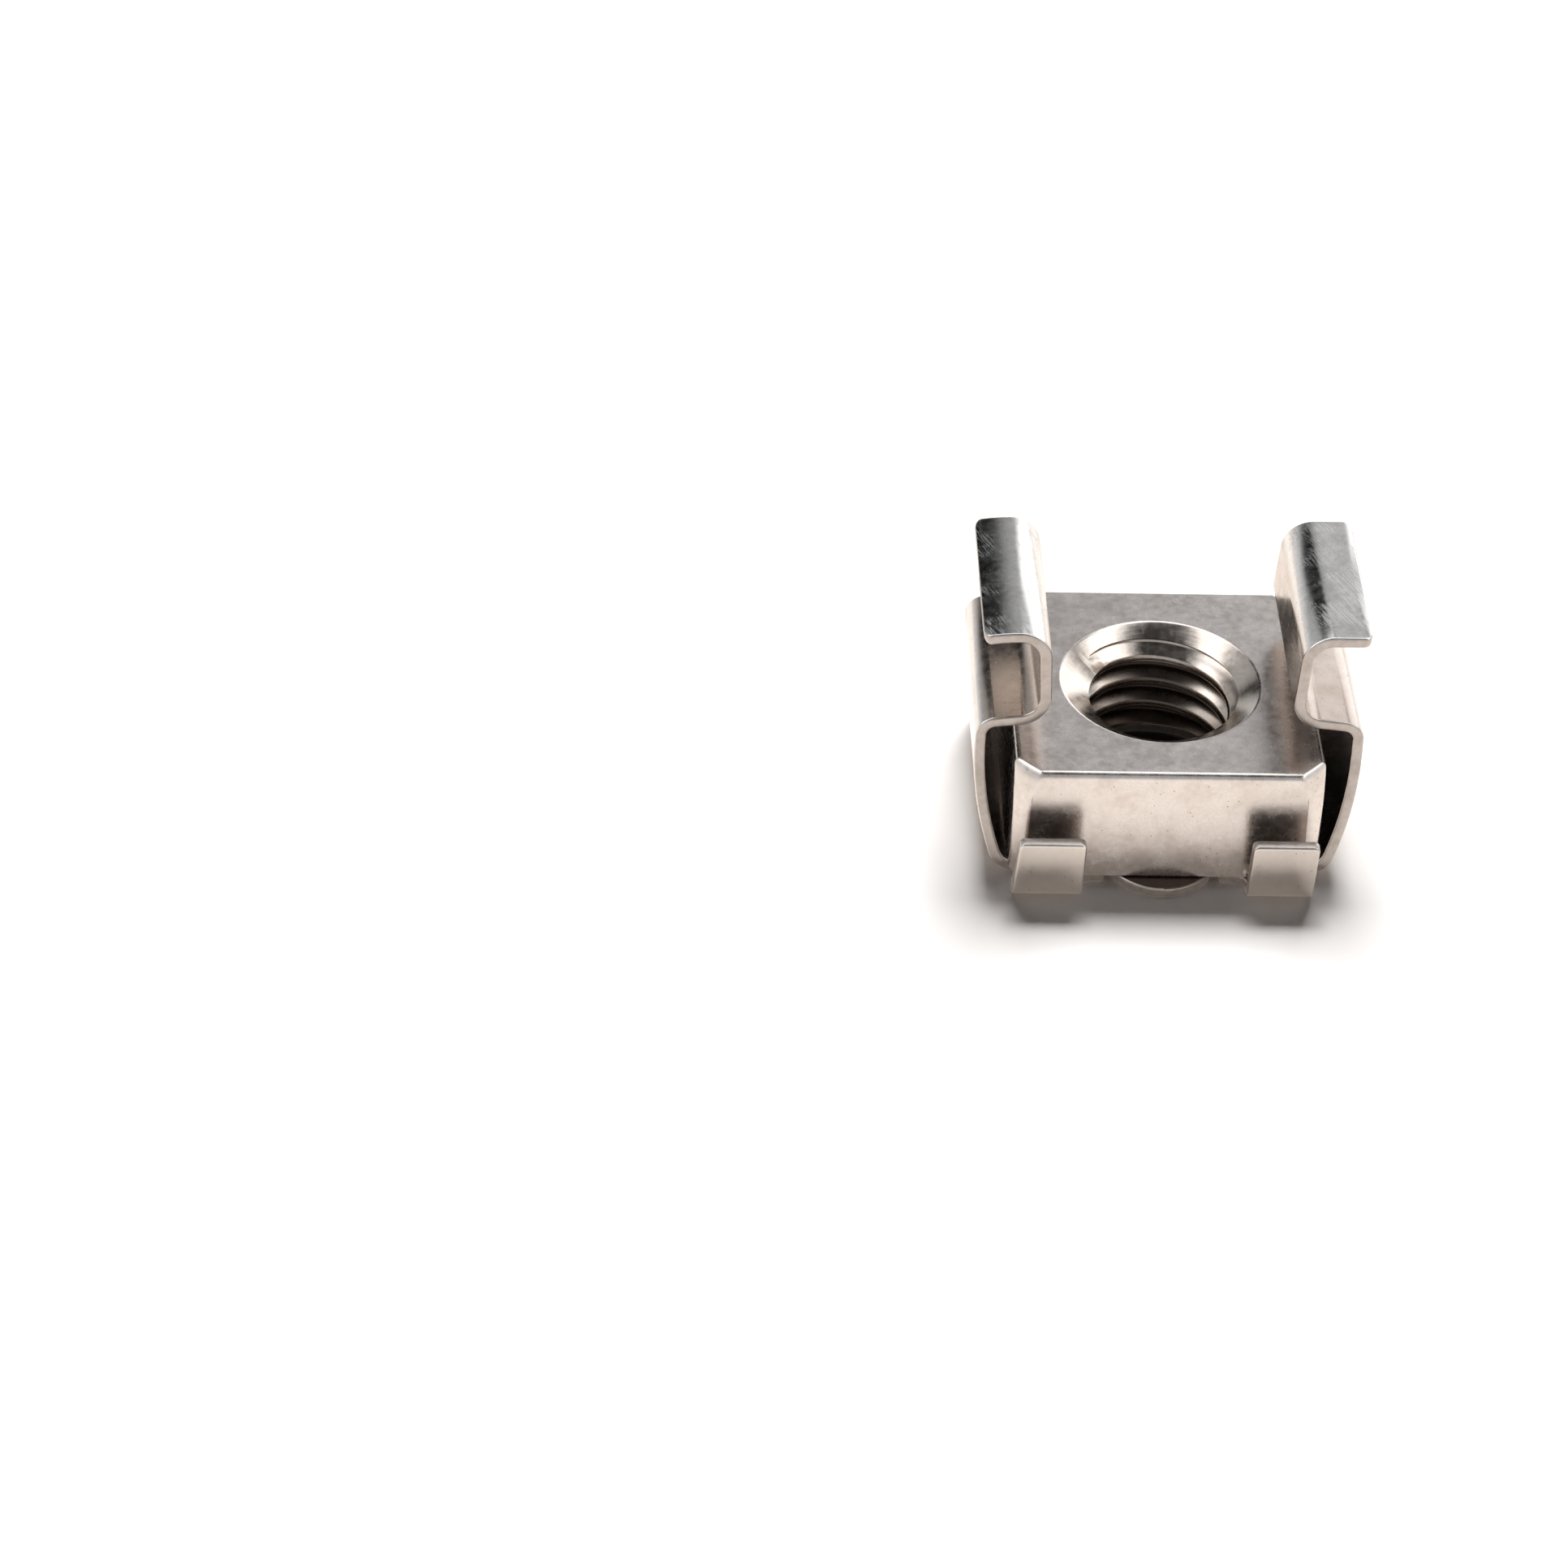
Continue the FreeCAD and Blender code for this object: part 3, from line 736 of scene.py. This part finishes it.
@dataclass
class SpringCage:
    """The cage: one strip of spring steel, pierced, with two folded wings and four corner tabs.

    Sizes are in mm. The quarter at the right and front is drawn and folded, then mirrored twice.
    """

    sheet: float = 0.4
    hole_radius: float = 3.4
    root_x: float = 4.98
    root_half_width: float = 4.65
    shoulder_z: float = 4.9
    shoulder_half_width: float = 3.625
    hook_z: float = 9.4
    hook_half_width: float = 3.45
    corner_notch: float = 0.1
    tab_inner_x: float = 2.85
    tab_outer_x: float = 5.15
    tab_fold_y: float = -5.55
    tab_foot_round: float = 0.42
    tab_bend: Bend = Bend(0.5, 82.0, 7)
    tab_rise: float = 2.1407
    tab_flare: float = 0.12
    slot_outer_x: float = 2.0
    slot_inner_x: float = 1.68
    slot_end_y: float = -4.7
    tongue_corner_y: float = -5.035
    tongue_centre_y: float = -3.95
    tongue_turn: float = 57.15
    folds: tuple = (Bend(0.9, 70.58, 12), Bend(11.8, 21.61, 8), Bend(0.55, 80.81, 12), Straight(0.875),
                    Bend(0.9, -86.0, 14), Straight(1.6022), Bend(0.9, -87.0, 14))
    shelf_start: float = 5.4339
    shelf_length: float = 1.2661
    shelf_rows: int = 4
    shelf_droop: float = 3.1
    hook_corner: float = 0.5
    tab_corner: float = 0.2
    edge_round: float = 0.08
    pick_slack: float = 0.05

    def build(self) -> HandMade:
        """Makes the whole cage.

        Returns:
            The cage with its finishes, before it stands for its solid.
        """
        cage = self.pierce_plate()
        self.fold_wing(cage)
        self.fold_tab(cage)
        self.round_corners(cage)
        cage.done()
        cage.finish_with("MIRROR", use_axis=(True, True, False), merge_threshold=MIRROR_GAP)
        cage.edit()
        cage.tidy()
        self.set_by_hand(cage)
        cage.done()
        wear(cage.piece, SHEET_STEEL, SHEARED_STEEL)
        cage.finish_with("SOLIDIFY", thickness=self.sheet * MM, offset=0.0, use_even_offset=True,
                         use_rim=True, material_offset_rim=1)
        cage.round_sharp_edges(self.edge_round, 3, 50)
        cage.edit()
        cage.tidy()
        cage.done()
        cage.smooth(40)
        return cage

    def pierce_plate(self) -> Outline:
        """Draws a quarter of the base plate, with its share of the hole, slot and tongue.

        Returns:
            The quarter, filled, at the middle of the sheet.
        """
        plate = Outline("cage_dressed", self.hole_radius * MM, 0.0, self.sheet / 2 * MM)
        plate.line(self.root_x, 0.0)
        plate.line(self.root_x, -self.root_half_width)
        plate.line(self.root_x, -self.root_half_width - self.corner_notch)
        plate.line(self.tab_outer_x, -self.root_half_width - self.corner_notch)
        plate.line(self.tab_outer_x, self.tab_fold_y)
        plate.line(self.tab_inner_x, self.tab_fold_y)
        plate.arc(self.tab_inner_x - self.tab_foot_round, self.tab_fold_y, 90, 6)
        plate.line(self.slot_outer_x, self.tab_fold_y + self.tab_foot_round)
        plate.line(self.slot_outer_x, self.slot_end_y)
        plate.arc((self.slot_outer_x + self.slot_inner_x) / 2, self.slot_end_y, 180, 8)
        plate.line(self.slot_inner_x, self.tongue_corner_y)
        plate.arc(0.0, self.tongue_centre_y, -self.tongue_turn, 14)
        plate.line(0.0, -self.hole_radius)
        plate.arc(0.0, 0.0, 90, 20)
        plate.fill()
        return plate

    def half_width(self, z: float) -> float:
        """Gives half the strip's width in mm at a height in mm."""
        if z <= self.sheet:
            return self.root_half_width
        if z <= self.shoulder_z:
            share = (z - self.sheet) / (self.shoulder_z - self.sheet)
            return self.root_half_width + (self.shoulder_half_width - self.root_half_width) * share
        share = (z - self.shoulder_z) / (self.hook_z - self.shoulder_z)
        return self.shoulder_half_width + (self.hook_half_width - self.shoulder_half_width) * share

    def fold_wing(self, cage: Outline) -> None:
        """Folds one half wing up from the root line, bend by bend, and tapers it row by row.

        Args:
            cage: The plate, in edit mode.
        """
        cage.pick_whole(Element.EDGE, lambda v: near(v.co.x, self.root_x * MM)
                        and v.co.y > -(self.root_half_width + self.corner_notch / 2) * MM)
        x, z, heading = self.root_x, self.sheet / 2, 0.0
        shelf = (Straight(self.shelf_length / self.shelf_rows),) * self.shelf_rows
        for fold in (*self.folds, *shelf):
            if isinstance(fold, Straight):
                step = Vector((fold.length * math.cos(heading), 0, fold.length * math.sin(heading)))
                old = z
                bpy.ops.mesh.extrude_edges_move(TRANSFORM_OT_translate={"value": step * MM})
                x, z = x + step.x, z + step.z
                self.taper(old, z)
                continue
            side = math.copysign(1, fold.turn)
            centre_x = x - side * fold.radius * math.sin(heading)
            centre_z = z + side * fold.radius * math.cos(heading)
            part = math.radians(fold.turn) / fold.steps
            for _ in range(fold.steps):
                bpy.ops.mesh.spin(steps=1, angle=part, center=metres(centre_x, 0, centre_z), axis=(0, 1, 0))
                old = z
                heading += part
                x = centre_x + side * fold.radius * math.sin(heading)
                z = centre_z - side * fold.radius * math.cos(heading)
                self.taper(old, z)

    def taper(self, old: float, new: float) -> None:
        """Narrows the newest row of the wing from its width at one height to that at the next."""
        share = self.half_width(new) / self.half_width(old)
        bpy.ops.transform.resize(value=(1, share, 1), center_override=(0, 0, 0))

    def fold_tab(self, cage: Outline) -> None:
        """Folds a corner tab up from the plate.

        Args:
            cage: The plate, in edit mode.
        """
        cage.pick_whole(Element.EDGE, lambda v: near(v.co.y, self.tab_fold_y * MM)
                        and near(v.co.z, self.sheet / 2 * MM))
        bend = self.tab_bend
        heading = math.radians(bend.turn)
        bpy.ops.mesh.spin(steps=bend.steps, angle=heading, axis=(1, 0, 0),
                          center=metres(0, self.tab_fold_y, self.sheet / 2 + bend.radius))
        bpy.ops.mesh.extrude_edges_move(TRANSFORM_OT_translate={"value": metres(
            0, -self.tab_rise * math.cos(heading), self.tab_rise * math.sin(heading))})

    def round_corners(self, cage: Outline) -> None:
        """Rounds the hook's tip corner and the tab's two top corners.

        Args:
            cage: The plate with its wing and tab, in edit mode.
        """
        tip_x = self.shelf_start + self.shelf_length - 2 * self.pick_slack
        cage.pick(Element.VERTEX, lambda v: v.co.x > tip_x * MM and v.co.z > (self.hook_z - self.sheet) * MM
                  and v.co.y < -MM)
        cage.round_off(self.hook_corner, 6, corners=True)
        cage.pick(Element.VERTEX, lambda v: v.co.y < self.tab_fold_y * MM and v.co.z > self.tab_rise * MM)
        cage.round_off(self.tab_corner, 4, corners=True)

    def set_by_hand(self, cage: Outline) -> None:
        """Bends the left hook's shelf down row by row, and flares the left front tab at its foot.

        Args:
            cage: The whole sheet, in edit mode.
        """
        shelf_z = self.hook_z - self.sheet / 2
        for row in range(self.shelf_rows):
            hinge = self.shelf_start + row * self.shelf_length / self.shelf_rows
            cage.pick(Element.VERTEX, lambda v: v.co.x < -(hinge + self.pick_slack) * MM
                      and v.co.z > (shelf_z - self.sheet) * MM)
            bpy.ops.transform.rotate(value=math.radians(self.shelf_droop), orient_axis="Y",
                                     center_override=metres(-hinge, 0, shelf_z))
        cage.pick(Element.VERTEX, lambda v: v.co.x < -(self.tab_outer_x - self.pick_slack) * MM
                  and v.co.y < (self.tab_fold_y + self.pick_slack) * MM and v.co.z < self.tab_rise / 2 * MM)
        bpy.ops.transform.translate(value=metres(-self.tab_flare, 0, 0))

    def dress(self, cage: HandMade) -> None:
        """Lets the finished cage stand for its solid."""
        place(cage.piece, "spring_cage", "spring_steel")


@dataclass
class SquareNut:
    """The nut: a square block with rounded uprights, a crowned top, two countersinks and an M6 thread.

    Sizes are in mm. The crown is a profile of radii and heights, from above the nut to below it.
    """

    width: float = 10.7
    bottom: float = 0.4
    top: float = 4.9
    upright_round: float = 0.6
    seat_chamfer: float = 0.09
    edge_round: float = 0.24
    crown: tuple = ((6.26, 5.9), (6.86, 4.9), (6.97, 4.70), (7.07, 4.42), (7.16, 4.0), (7.23, 3.5),
                    (7.28, 2.9), (7.34, 2.2), (8.2, 1.2), (8.2, -1.0))
    crown_edge: float = 0.05
    crown_steps: int = 256
    mouth_radius: float = 3.5
    mouth_edge: float = 0.06
    mouth_slope: float = 0.7
    mouth_over: float = 0.2
    root_radius: float = 3.1
    core_radius: float = 2.4587
    pitch: float = 1.0
    flank_angle: float = 30.0
    crest_round: float = 0.12
    root_round: float = 0.17
    thread_start: float = 6.7
    thread_turns: int = 8
    thread_steps: int = 72
    tap_over: float = 0.3
    round_steps: int = 192

    def build(self) -> HandMade:
        """Makes the whole nut.

        Returns:
            The nut, before its finishes go on.
        """
        nut = self.block()
        nut.cut_by(self.crown_tool(), Cut.KEEP_COMMON)
        nut.round_sharp_edges(self.crown_edge, 2, 27)
        for above in (True, False):
            nut.cut_by(self.countersink(above), Cut.TAKE_AWAY)
        self.soften(nut)
        nut.cut_by(self.tap(), Cut.TAKE_AWAY)
        nut.edit()
        nut.tidy()
        nut.done()
        nut.smooth(33)
        return nut

    def block(self) -> HandMade:
        """Makes the square block with its rounded uprights, rounded top edges and bevelled seat.

        Returns:
            The block.
        """
        start_fresh()
        height = self.top - self.bottom
        bpy.ops.mesh.primitive_cube_add(
            size=MM, location=metres(0, 0, (self.top + self.bottom) / 2), scale=(self.width, self.width, height))
        block = HandMade("nut_dressed")
        block.edit()
        block.pick(Element.EDGE, lambda edge: near(edge.calc_length(), height * MM))
        block.round_off(self.upright_round, 8)
        for z, radius, segments in ((self.bottom, self.seat_chamfer, 2), (self.top, self.edge_round, 4)):
            block.pick_whole(Element.FACE, lambda v: near(v.co.z, z * MM))
            bpy.ops.mesh.region_to_loop()
            block.round_off(radius, segments)
        block.done()
        return block

    def crown_tool(self) -> HandMade:
        """Turns the blank that takes the block's top corners down, from its rounded profile.

        Returns:
            The blank, closed at both ends.
        """
        start_fresh()
        radius, z = self.crown[0]
        bpy.ops.mesh.primitive_circle_add(
            vertices=self.crown_steps, radius=radius * MM, fill_type="NGON", location=metres(0, 0, z))
        blank = HandMade("crown_tool")
        blank.edit()
        bpy.ops.mesh.select_all(action="SELECT")
        for (radius, z), (wider, lower) in zip(self.crown, self.crown[1:]):
            bpy.ops.mesh.extrude_region_move(TRANSFORM_OT_translate={"value": metres(0, 0, lower - z)})
            share = wider / radius
            bpy.ops.transform.resize(value=(share, share, 1), center_override=(0, 0, 0))
        blank.tidy()
        blank.done()
        return blank

    def countersink(self, above: bool) -> HandMade:
        """Makes the cone that opens the mouth of the bore.

        Args:
            above: Whether it is the upper mouth.

        Returns:
            The cone, point inwards.
        """
        start_fresh()
        wide = self.mouth_radius + self.mouth_over / self.mouth_slope
        depth = wide * self.mouth_slope
        side = 1 if above else -1
        face = self.top if above else self.bottom
        bpy.ops.mesh.primitive_cone_add(
            vertices=self.round_steps, radius1=0.0, radius2=wide * MM, depth=depth * MM,
            location=metres(0, 0, face + side * (self.mouth_over - depth / 2)),
            rotation=(0 if above else math.pi, 0, 0))
        return HandMade("mouth_tool")

    def soften(self, nut: HandMade) -> None:
        """Takes the sharpness off the mouths' rims.

        Args:
            nut: The nut before it is threaded.
        """
        nut.edit()
        nut.pick_whole(Element.EDGE, lambda v: near(math.hypot(v.co.x, v.co.y), self.mouth_radius * MM, RIM_GAP)
                       and (near(v.co.z, self.top * MM) or near(v.co.z, self.bottom * MM)))
        nut.round_off(self.mouth_edge, 3)
        nut.done()

    def tap(self) -> HandMade:
        """Makes the tap: one thread profile, swept round and down, and cut square at both ends.

        Returns:
            The tap, a closed solid a little longer than the nut.
        """
        start_fresh()
        deep = self.root_radius - self.core_radius
        flank = deep * math.tan(math.radians(self.flank_angle))
        crest = self.pitch - 2 * flank
        bpy.ops.mesh.primitive_plane_add(size=MM, location=metres(self.core_radius, 0, self.thread_start))
        tap = HandMade("tap_tool")
        tap.edit()
        bpy.ops.mesh.select_all(action="SELECT")
        bpy.ops.mesh.merge(type="CENTER")
        for out, rise in ((0, crest / 2), (deep, flank), (-deep, flank), (0, crest / 2)):
            bpy.ops.mesh.extrude_vertices_move(TRANSFORM_OT_translate={"value": metres(out, 0, rise)})
        for radius, rounding in ((self.core_radius, self.crest_round), (self.root_radius, self.root_round)):
            tap.pick(Element.VERTEX, lambda v: len(v.link_edges) == 2 and near(v.co.x, radius * MM))
            tap.round_off(rounding, 4, corners=True)
        tap.done()
        tap.finish_with("SCREW", axis="Z", angle=-2 * math.pi, screw_offset=-self.pitch * MM,
                        iterations=self.thread_turns, steps=self.thread_steps, render_steps=self.thread_steps)
        tap.edit()
        tap.merge_doubles()
        for z, up in ((self.bottom - self.tap_over, -1), (self.top + self.tap_over, 1)):
            bpy.ops.mesh.select_all(action="SELECT")
            bpy.ops.mesh.bisect(plane_co=metres(0, 0, z), plane_no=(0, 0, up), use_fill=True,
                                clear_outer=True, threshold=CUT_SLACK)
        tap.tidy()
        tap.done()
        return tap

    def dress(self, nut: HandMade) -> None:
        """Gives the block its satin finish and the bore its turned one.

        Args:
            nut: The finished nut.
        """
        wear(nut.piece, BLANK_STEEL, TURNED_STEEL)
        nut.edit()
        bore = self.mouth_radius * MM + BORE_SLACK
        nut.pick_whole(Element.FACE, lambda v: math.hypot(v.co.x, v.co.y) < bore)
        nut.piece.active_material_index = 1
        bpy.ops.object.material_slot_assign()
        nut.done()
        place(nut.piece, "square_nut", "nut_steel")


@dataclass
class Floor:
    """The pale paper under the cage, white where it is far away, with a painted shadow under the plate's hole.
    Distances from the axis are in mm.
    """

    size: float = 3.0
    drop: float = 0.01
    lit: Colour = (0.60, 0.59, 0.585)
    seen: Colour = (1.0, 0.975, 0.96)
    mirrored: Colour = (1.0, 0.935, 0.875)
    mirrored_glow: Colour = (1.0, 0.93, 0.87)
    sheen: float = 0.16
    # Painted shadow: the colour, share and edge of the dark spot painted on the paper under the plate's hole.
    dark: Colour = (0.03, 0.022, 0.018)
    dark_share: float = 0.85
    painted_shadow_edge: Span = (3.2, 4.2)
    white_edge: Span = (45.0, 140.0)

    def build(self) -> None:
        """Lays the paper, with a painted shadow under the plate's hole."""
        start_fresh()
        bpy.ops.mesh.primitive_plane_add(size=self.size, location=metres(0, 0, -self.drop))
        floor = bpy.context.object
        floor.name = "floor"
        bench = NodeBench(bpy.data.materials.new("floor_paper"))
        path = bench.add("LightPath").outputs
        seen = bench.most(path["Is Camera Ray"], path["Is Transmission Ray"])
        mirrored = path["Is Glossy Ray"]
        away = bench.from_axis(bench.add("TexCoord").outputs["Object"])
        # Painted shadow: where the nut shades the paper under the hole.
        under = bench.fade_out(away, self.painted_shadow_edge, self.dark_share)
        far = bench.times(bench.fade_in(away, self.white_edge), bench.most(seen, mirrored))
        paper = bench.blend(seen, self.lit, self.seen)
        paper = bench.blend(mirrored, paper, self.mirrored)
        # Painted shadow laid over the paper under the hole, and the mirrored glow taken out there too.
        paper = bench.blend(under, paper, self.dark)
        glow = bench.times(bench.most(far, bench.times(mirrored, self.sheen)), bench.minus(1.0, under))
        sheet = bench.add("BsdfDiffuse", Color=bench.blend(far, paper, (0.0, 0.0, 0.0)))
        white = bench.add("Emission", Color=bench.blend(mirrored, (1.0, 1.0, 1.0), self.mirrored_glow),
                          Strength=glow)
        both = bench.add("AddShader")
        bench.feed(both.inputs[0], sheet.outputs[0])
        bench.feed(both.inputs[1], white.outputs[0])
        bench.replace_shader(both)
        floor.data.materials.append(bench.owner)


@dataclass(frozen=True)
class Card:
    """A patch of the studio that polished metal mirrors, in degrees round from the back and up."""

    round: float
    half_width: float
    up: float
    half_height: float
    tone: float
    blur: float = 8.0

    def edge(self, bench: NodeBench, off: Socket, half: float) -> Socket:
        """Gives 1 where an angle from the card's middle is less than half its size, and 0 outside."""
        return bench.spread(off, half - self.blur, half + self.blur, 1.0, 0.0)

    def hang(self, bench: NodeBench, round_back: Socket, up: Socket, tone: object) -> Socket:
        """Hangs the card in front of the tones behind it.

        Args:
            bench: The tent's nodes.
            round_back: The direction's angle round from the back.
            up: The direction's angle up.
            tone: The tone without this card.

        Returns:
            The tone with it.
        """
        off = bench.math(Sum.SIZE, bench.minus(round_back, self.round))
        off = bench.math(Sum.LEAST, off, bench.minus(360.0, off))
        off_up = bench.math(Sum.SIZE, bench.minus(up, self.up))
        share = bench.times(self.edge(bench, off, self.half_width), self.edge(bench, off_up, self.half_height))
        return bench.mix(Mixed.NUMBERS, share, tone, self.tone)


@dataclass
class Tent:
    """The tent that only mirrored light sees, with its dark and bright cards."""

    radius: float = 0.7
    tone: float = 0.53
    tint: Colour = (0.985, 1.0, 1.015)
    cards: tuple[Card, ...] = (
        Card(0, 200, 90, 14, 0.7, 6),
        Card(0, 100, 66, 11, 2.4, 5),
        Card(0, 200, 0, 9, 0.95, 8),
        Card(180, 66, 71, 17, 0.05, 8),
        Card(92, 24, 36, 20, 2.5, 8),
        Card(-92, 24, 40, 20, 2.4, 8),
        Card(-18, 17, 34, 18, 0.01, 5),
        Card(34, 19, 12, 24, 2.1, 6))

    def build(self) -> None:
        """Hangs the tent round the object."""
        start_fresh()
        bpy.ops.mesh.primitive_uv_sphere_add(segments=32, ring_count=16, radius=self.radius)
        tent = bpy.context.object
        tent.name = "tent"
        bench = NodeBench(bpy.data.materials.new("tent_cards"))
        direction = bench.add("VectorMath", Vector=bench.add("TexCoord").outputs["Object"])
        direction.operation = "NORMALIZE"
        parts = bench.add("SeparateXYZ", Vector=direction.outputs["Vector"]).outputs
        degrees = 180 / math.pi
        round_back = bench.times(bench.math(Sum.ANGLE_OF_SIDES, parts["X"], parts["Y"]), degrees)
        up = bench.times(bench.math(Sum.ANGLE_OF_RISE, parts["Z"]), degrees)
        tone = self.tone
        for card in self.cards:
            tone = card.hang(bench, round_back, up, tone)
        bench.replace_shader(bench.add("Emission", Color=self.tint, Strength=tone))
        tent.data.materials.append(bench.owner)
        for kind in ("camera", "diffuse", "transmission", "shadow", "volume_scatter"):
            setattr(tent, "visible_" + kind, False)


@dataclass
class Light:
    """The key lamp, behind and above in metres, and the surround that lights and that is seen."""

    surround_tint: Colour = (1.0, 0.985, 0.97)
    surround_lit: float = 0.035
    surround_seen: float = 1.0
    place: tuple[float, float, float] = (0.01, 0.155, 0.31)
    size: float = 0.14
    energy: float = 1.68

    def build(self) -> None:
        """Lights the object softly, with a plain pale surround."""
        world = bpy.data.worlds.new("studio")
        bpy.context.scene.world = world
        bench = NodeBench(world)
        path = bench.add("LightPath").outputs
        seen = bench.most(path["Is Camera Ray"], path["Is Glossy Ray"], path["Is Transmission Ray"])
        background = bench.tree.nodes["Background"]
        bench.feed(background.inputs["Color"], self.surround_tint)
        bench.feed(background.inputs["Strength"],
                   bench.spread(seen, 0.0, 1.0, self.surround_lit, self.surround_seen))
        lamp = bpy.data.lights.new("key", "AREA")
        lamp.size = self.size
        lamp.energy = self.energy
        key = bpy.data.objects.new("key", lamp)
        key.location = self.place
        key.rotation_euler = (-Vector(self.place)).to_track_quat("-Z", "Y").to_euler()
        key.visible_camera = False
        key.visible_glossy = False
        bpy.context.scene.collection.objects.link(key)


@dataclass
class Camera:
    """The camera, by its angles in degrees, its place in mm and its lens."""

    yaw: float = 2.28022
    pitch: float = 38.49918
    roll: float = 2.17144
    place: tuple[float, float, float] = (-17.9645, -124.0701, 98.8324)
    lens: float = 102.4845
    sensor_width: float = 36.0
    nearest: float = 0.001

    def build(self) -> None:
        """Puts the camera where the object is seen from, at the same framing."""
        yaw, pitch, roll = (math.radians(angle) for angle in (self.yaw, self.pitch, self.roll))
        ahead = Vector((math.sin(yaw) * math.cos(pitch), math.cos(yaw) * math.cos(pitch), -math.sin(pitch)))
        level = Vector((math.cos(yaw), -math.sin(yaw), 0))
        above = level.cross(ahead)
        right = math.cos(roll) * level + math.sin(roll) * above
        up = math.cos(roll) * above - math.sin(roll) * level
        data = bpy.data.cameras.new("camera")
        data.lens = self.lens
        data.sensor_width = self.sensor_width
        data.clip_start = self.nearest
        camera = bpy.data.objects.new("camera", data)
        bpy.context.scene.collection.objects.link(camera)
        turn = Matrix((right, up, -ahead)).transposed().to_4x4()
        camera.matrix_world = Matrix.Translation(metres(*self.place)) @ turn
        bpy.context.scene.camera = camera


def main() -> None:
    """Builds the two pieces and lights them."""
    logging.basicConfig(level=logging.INFO, format="%(message)s")
    cage, nut = SpringCage(), SquareNut()
    cage.dress(cage.build())
    nut.dress(nut.build())
    for part in (Floor(), Tent(), Light(), Camera()):
        part.build()
    bpy.context.scene.view_settings.view_transform = "Standard"


if __name__ == "__main__":
    main()
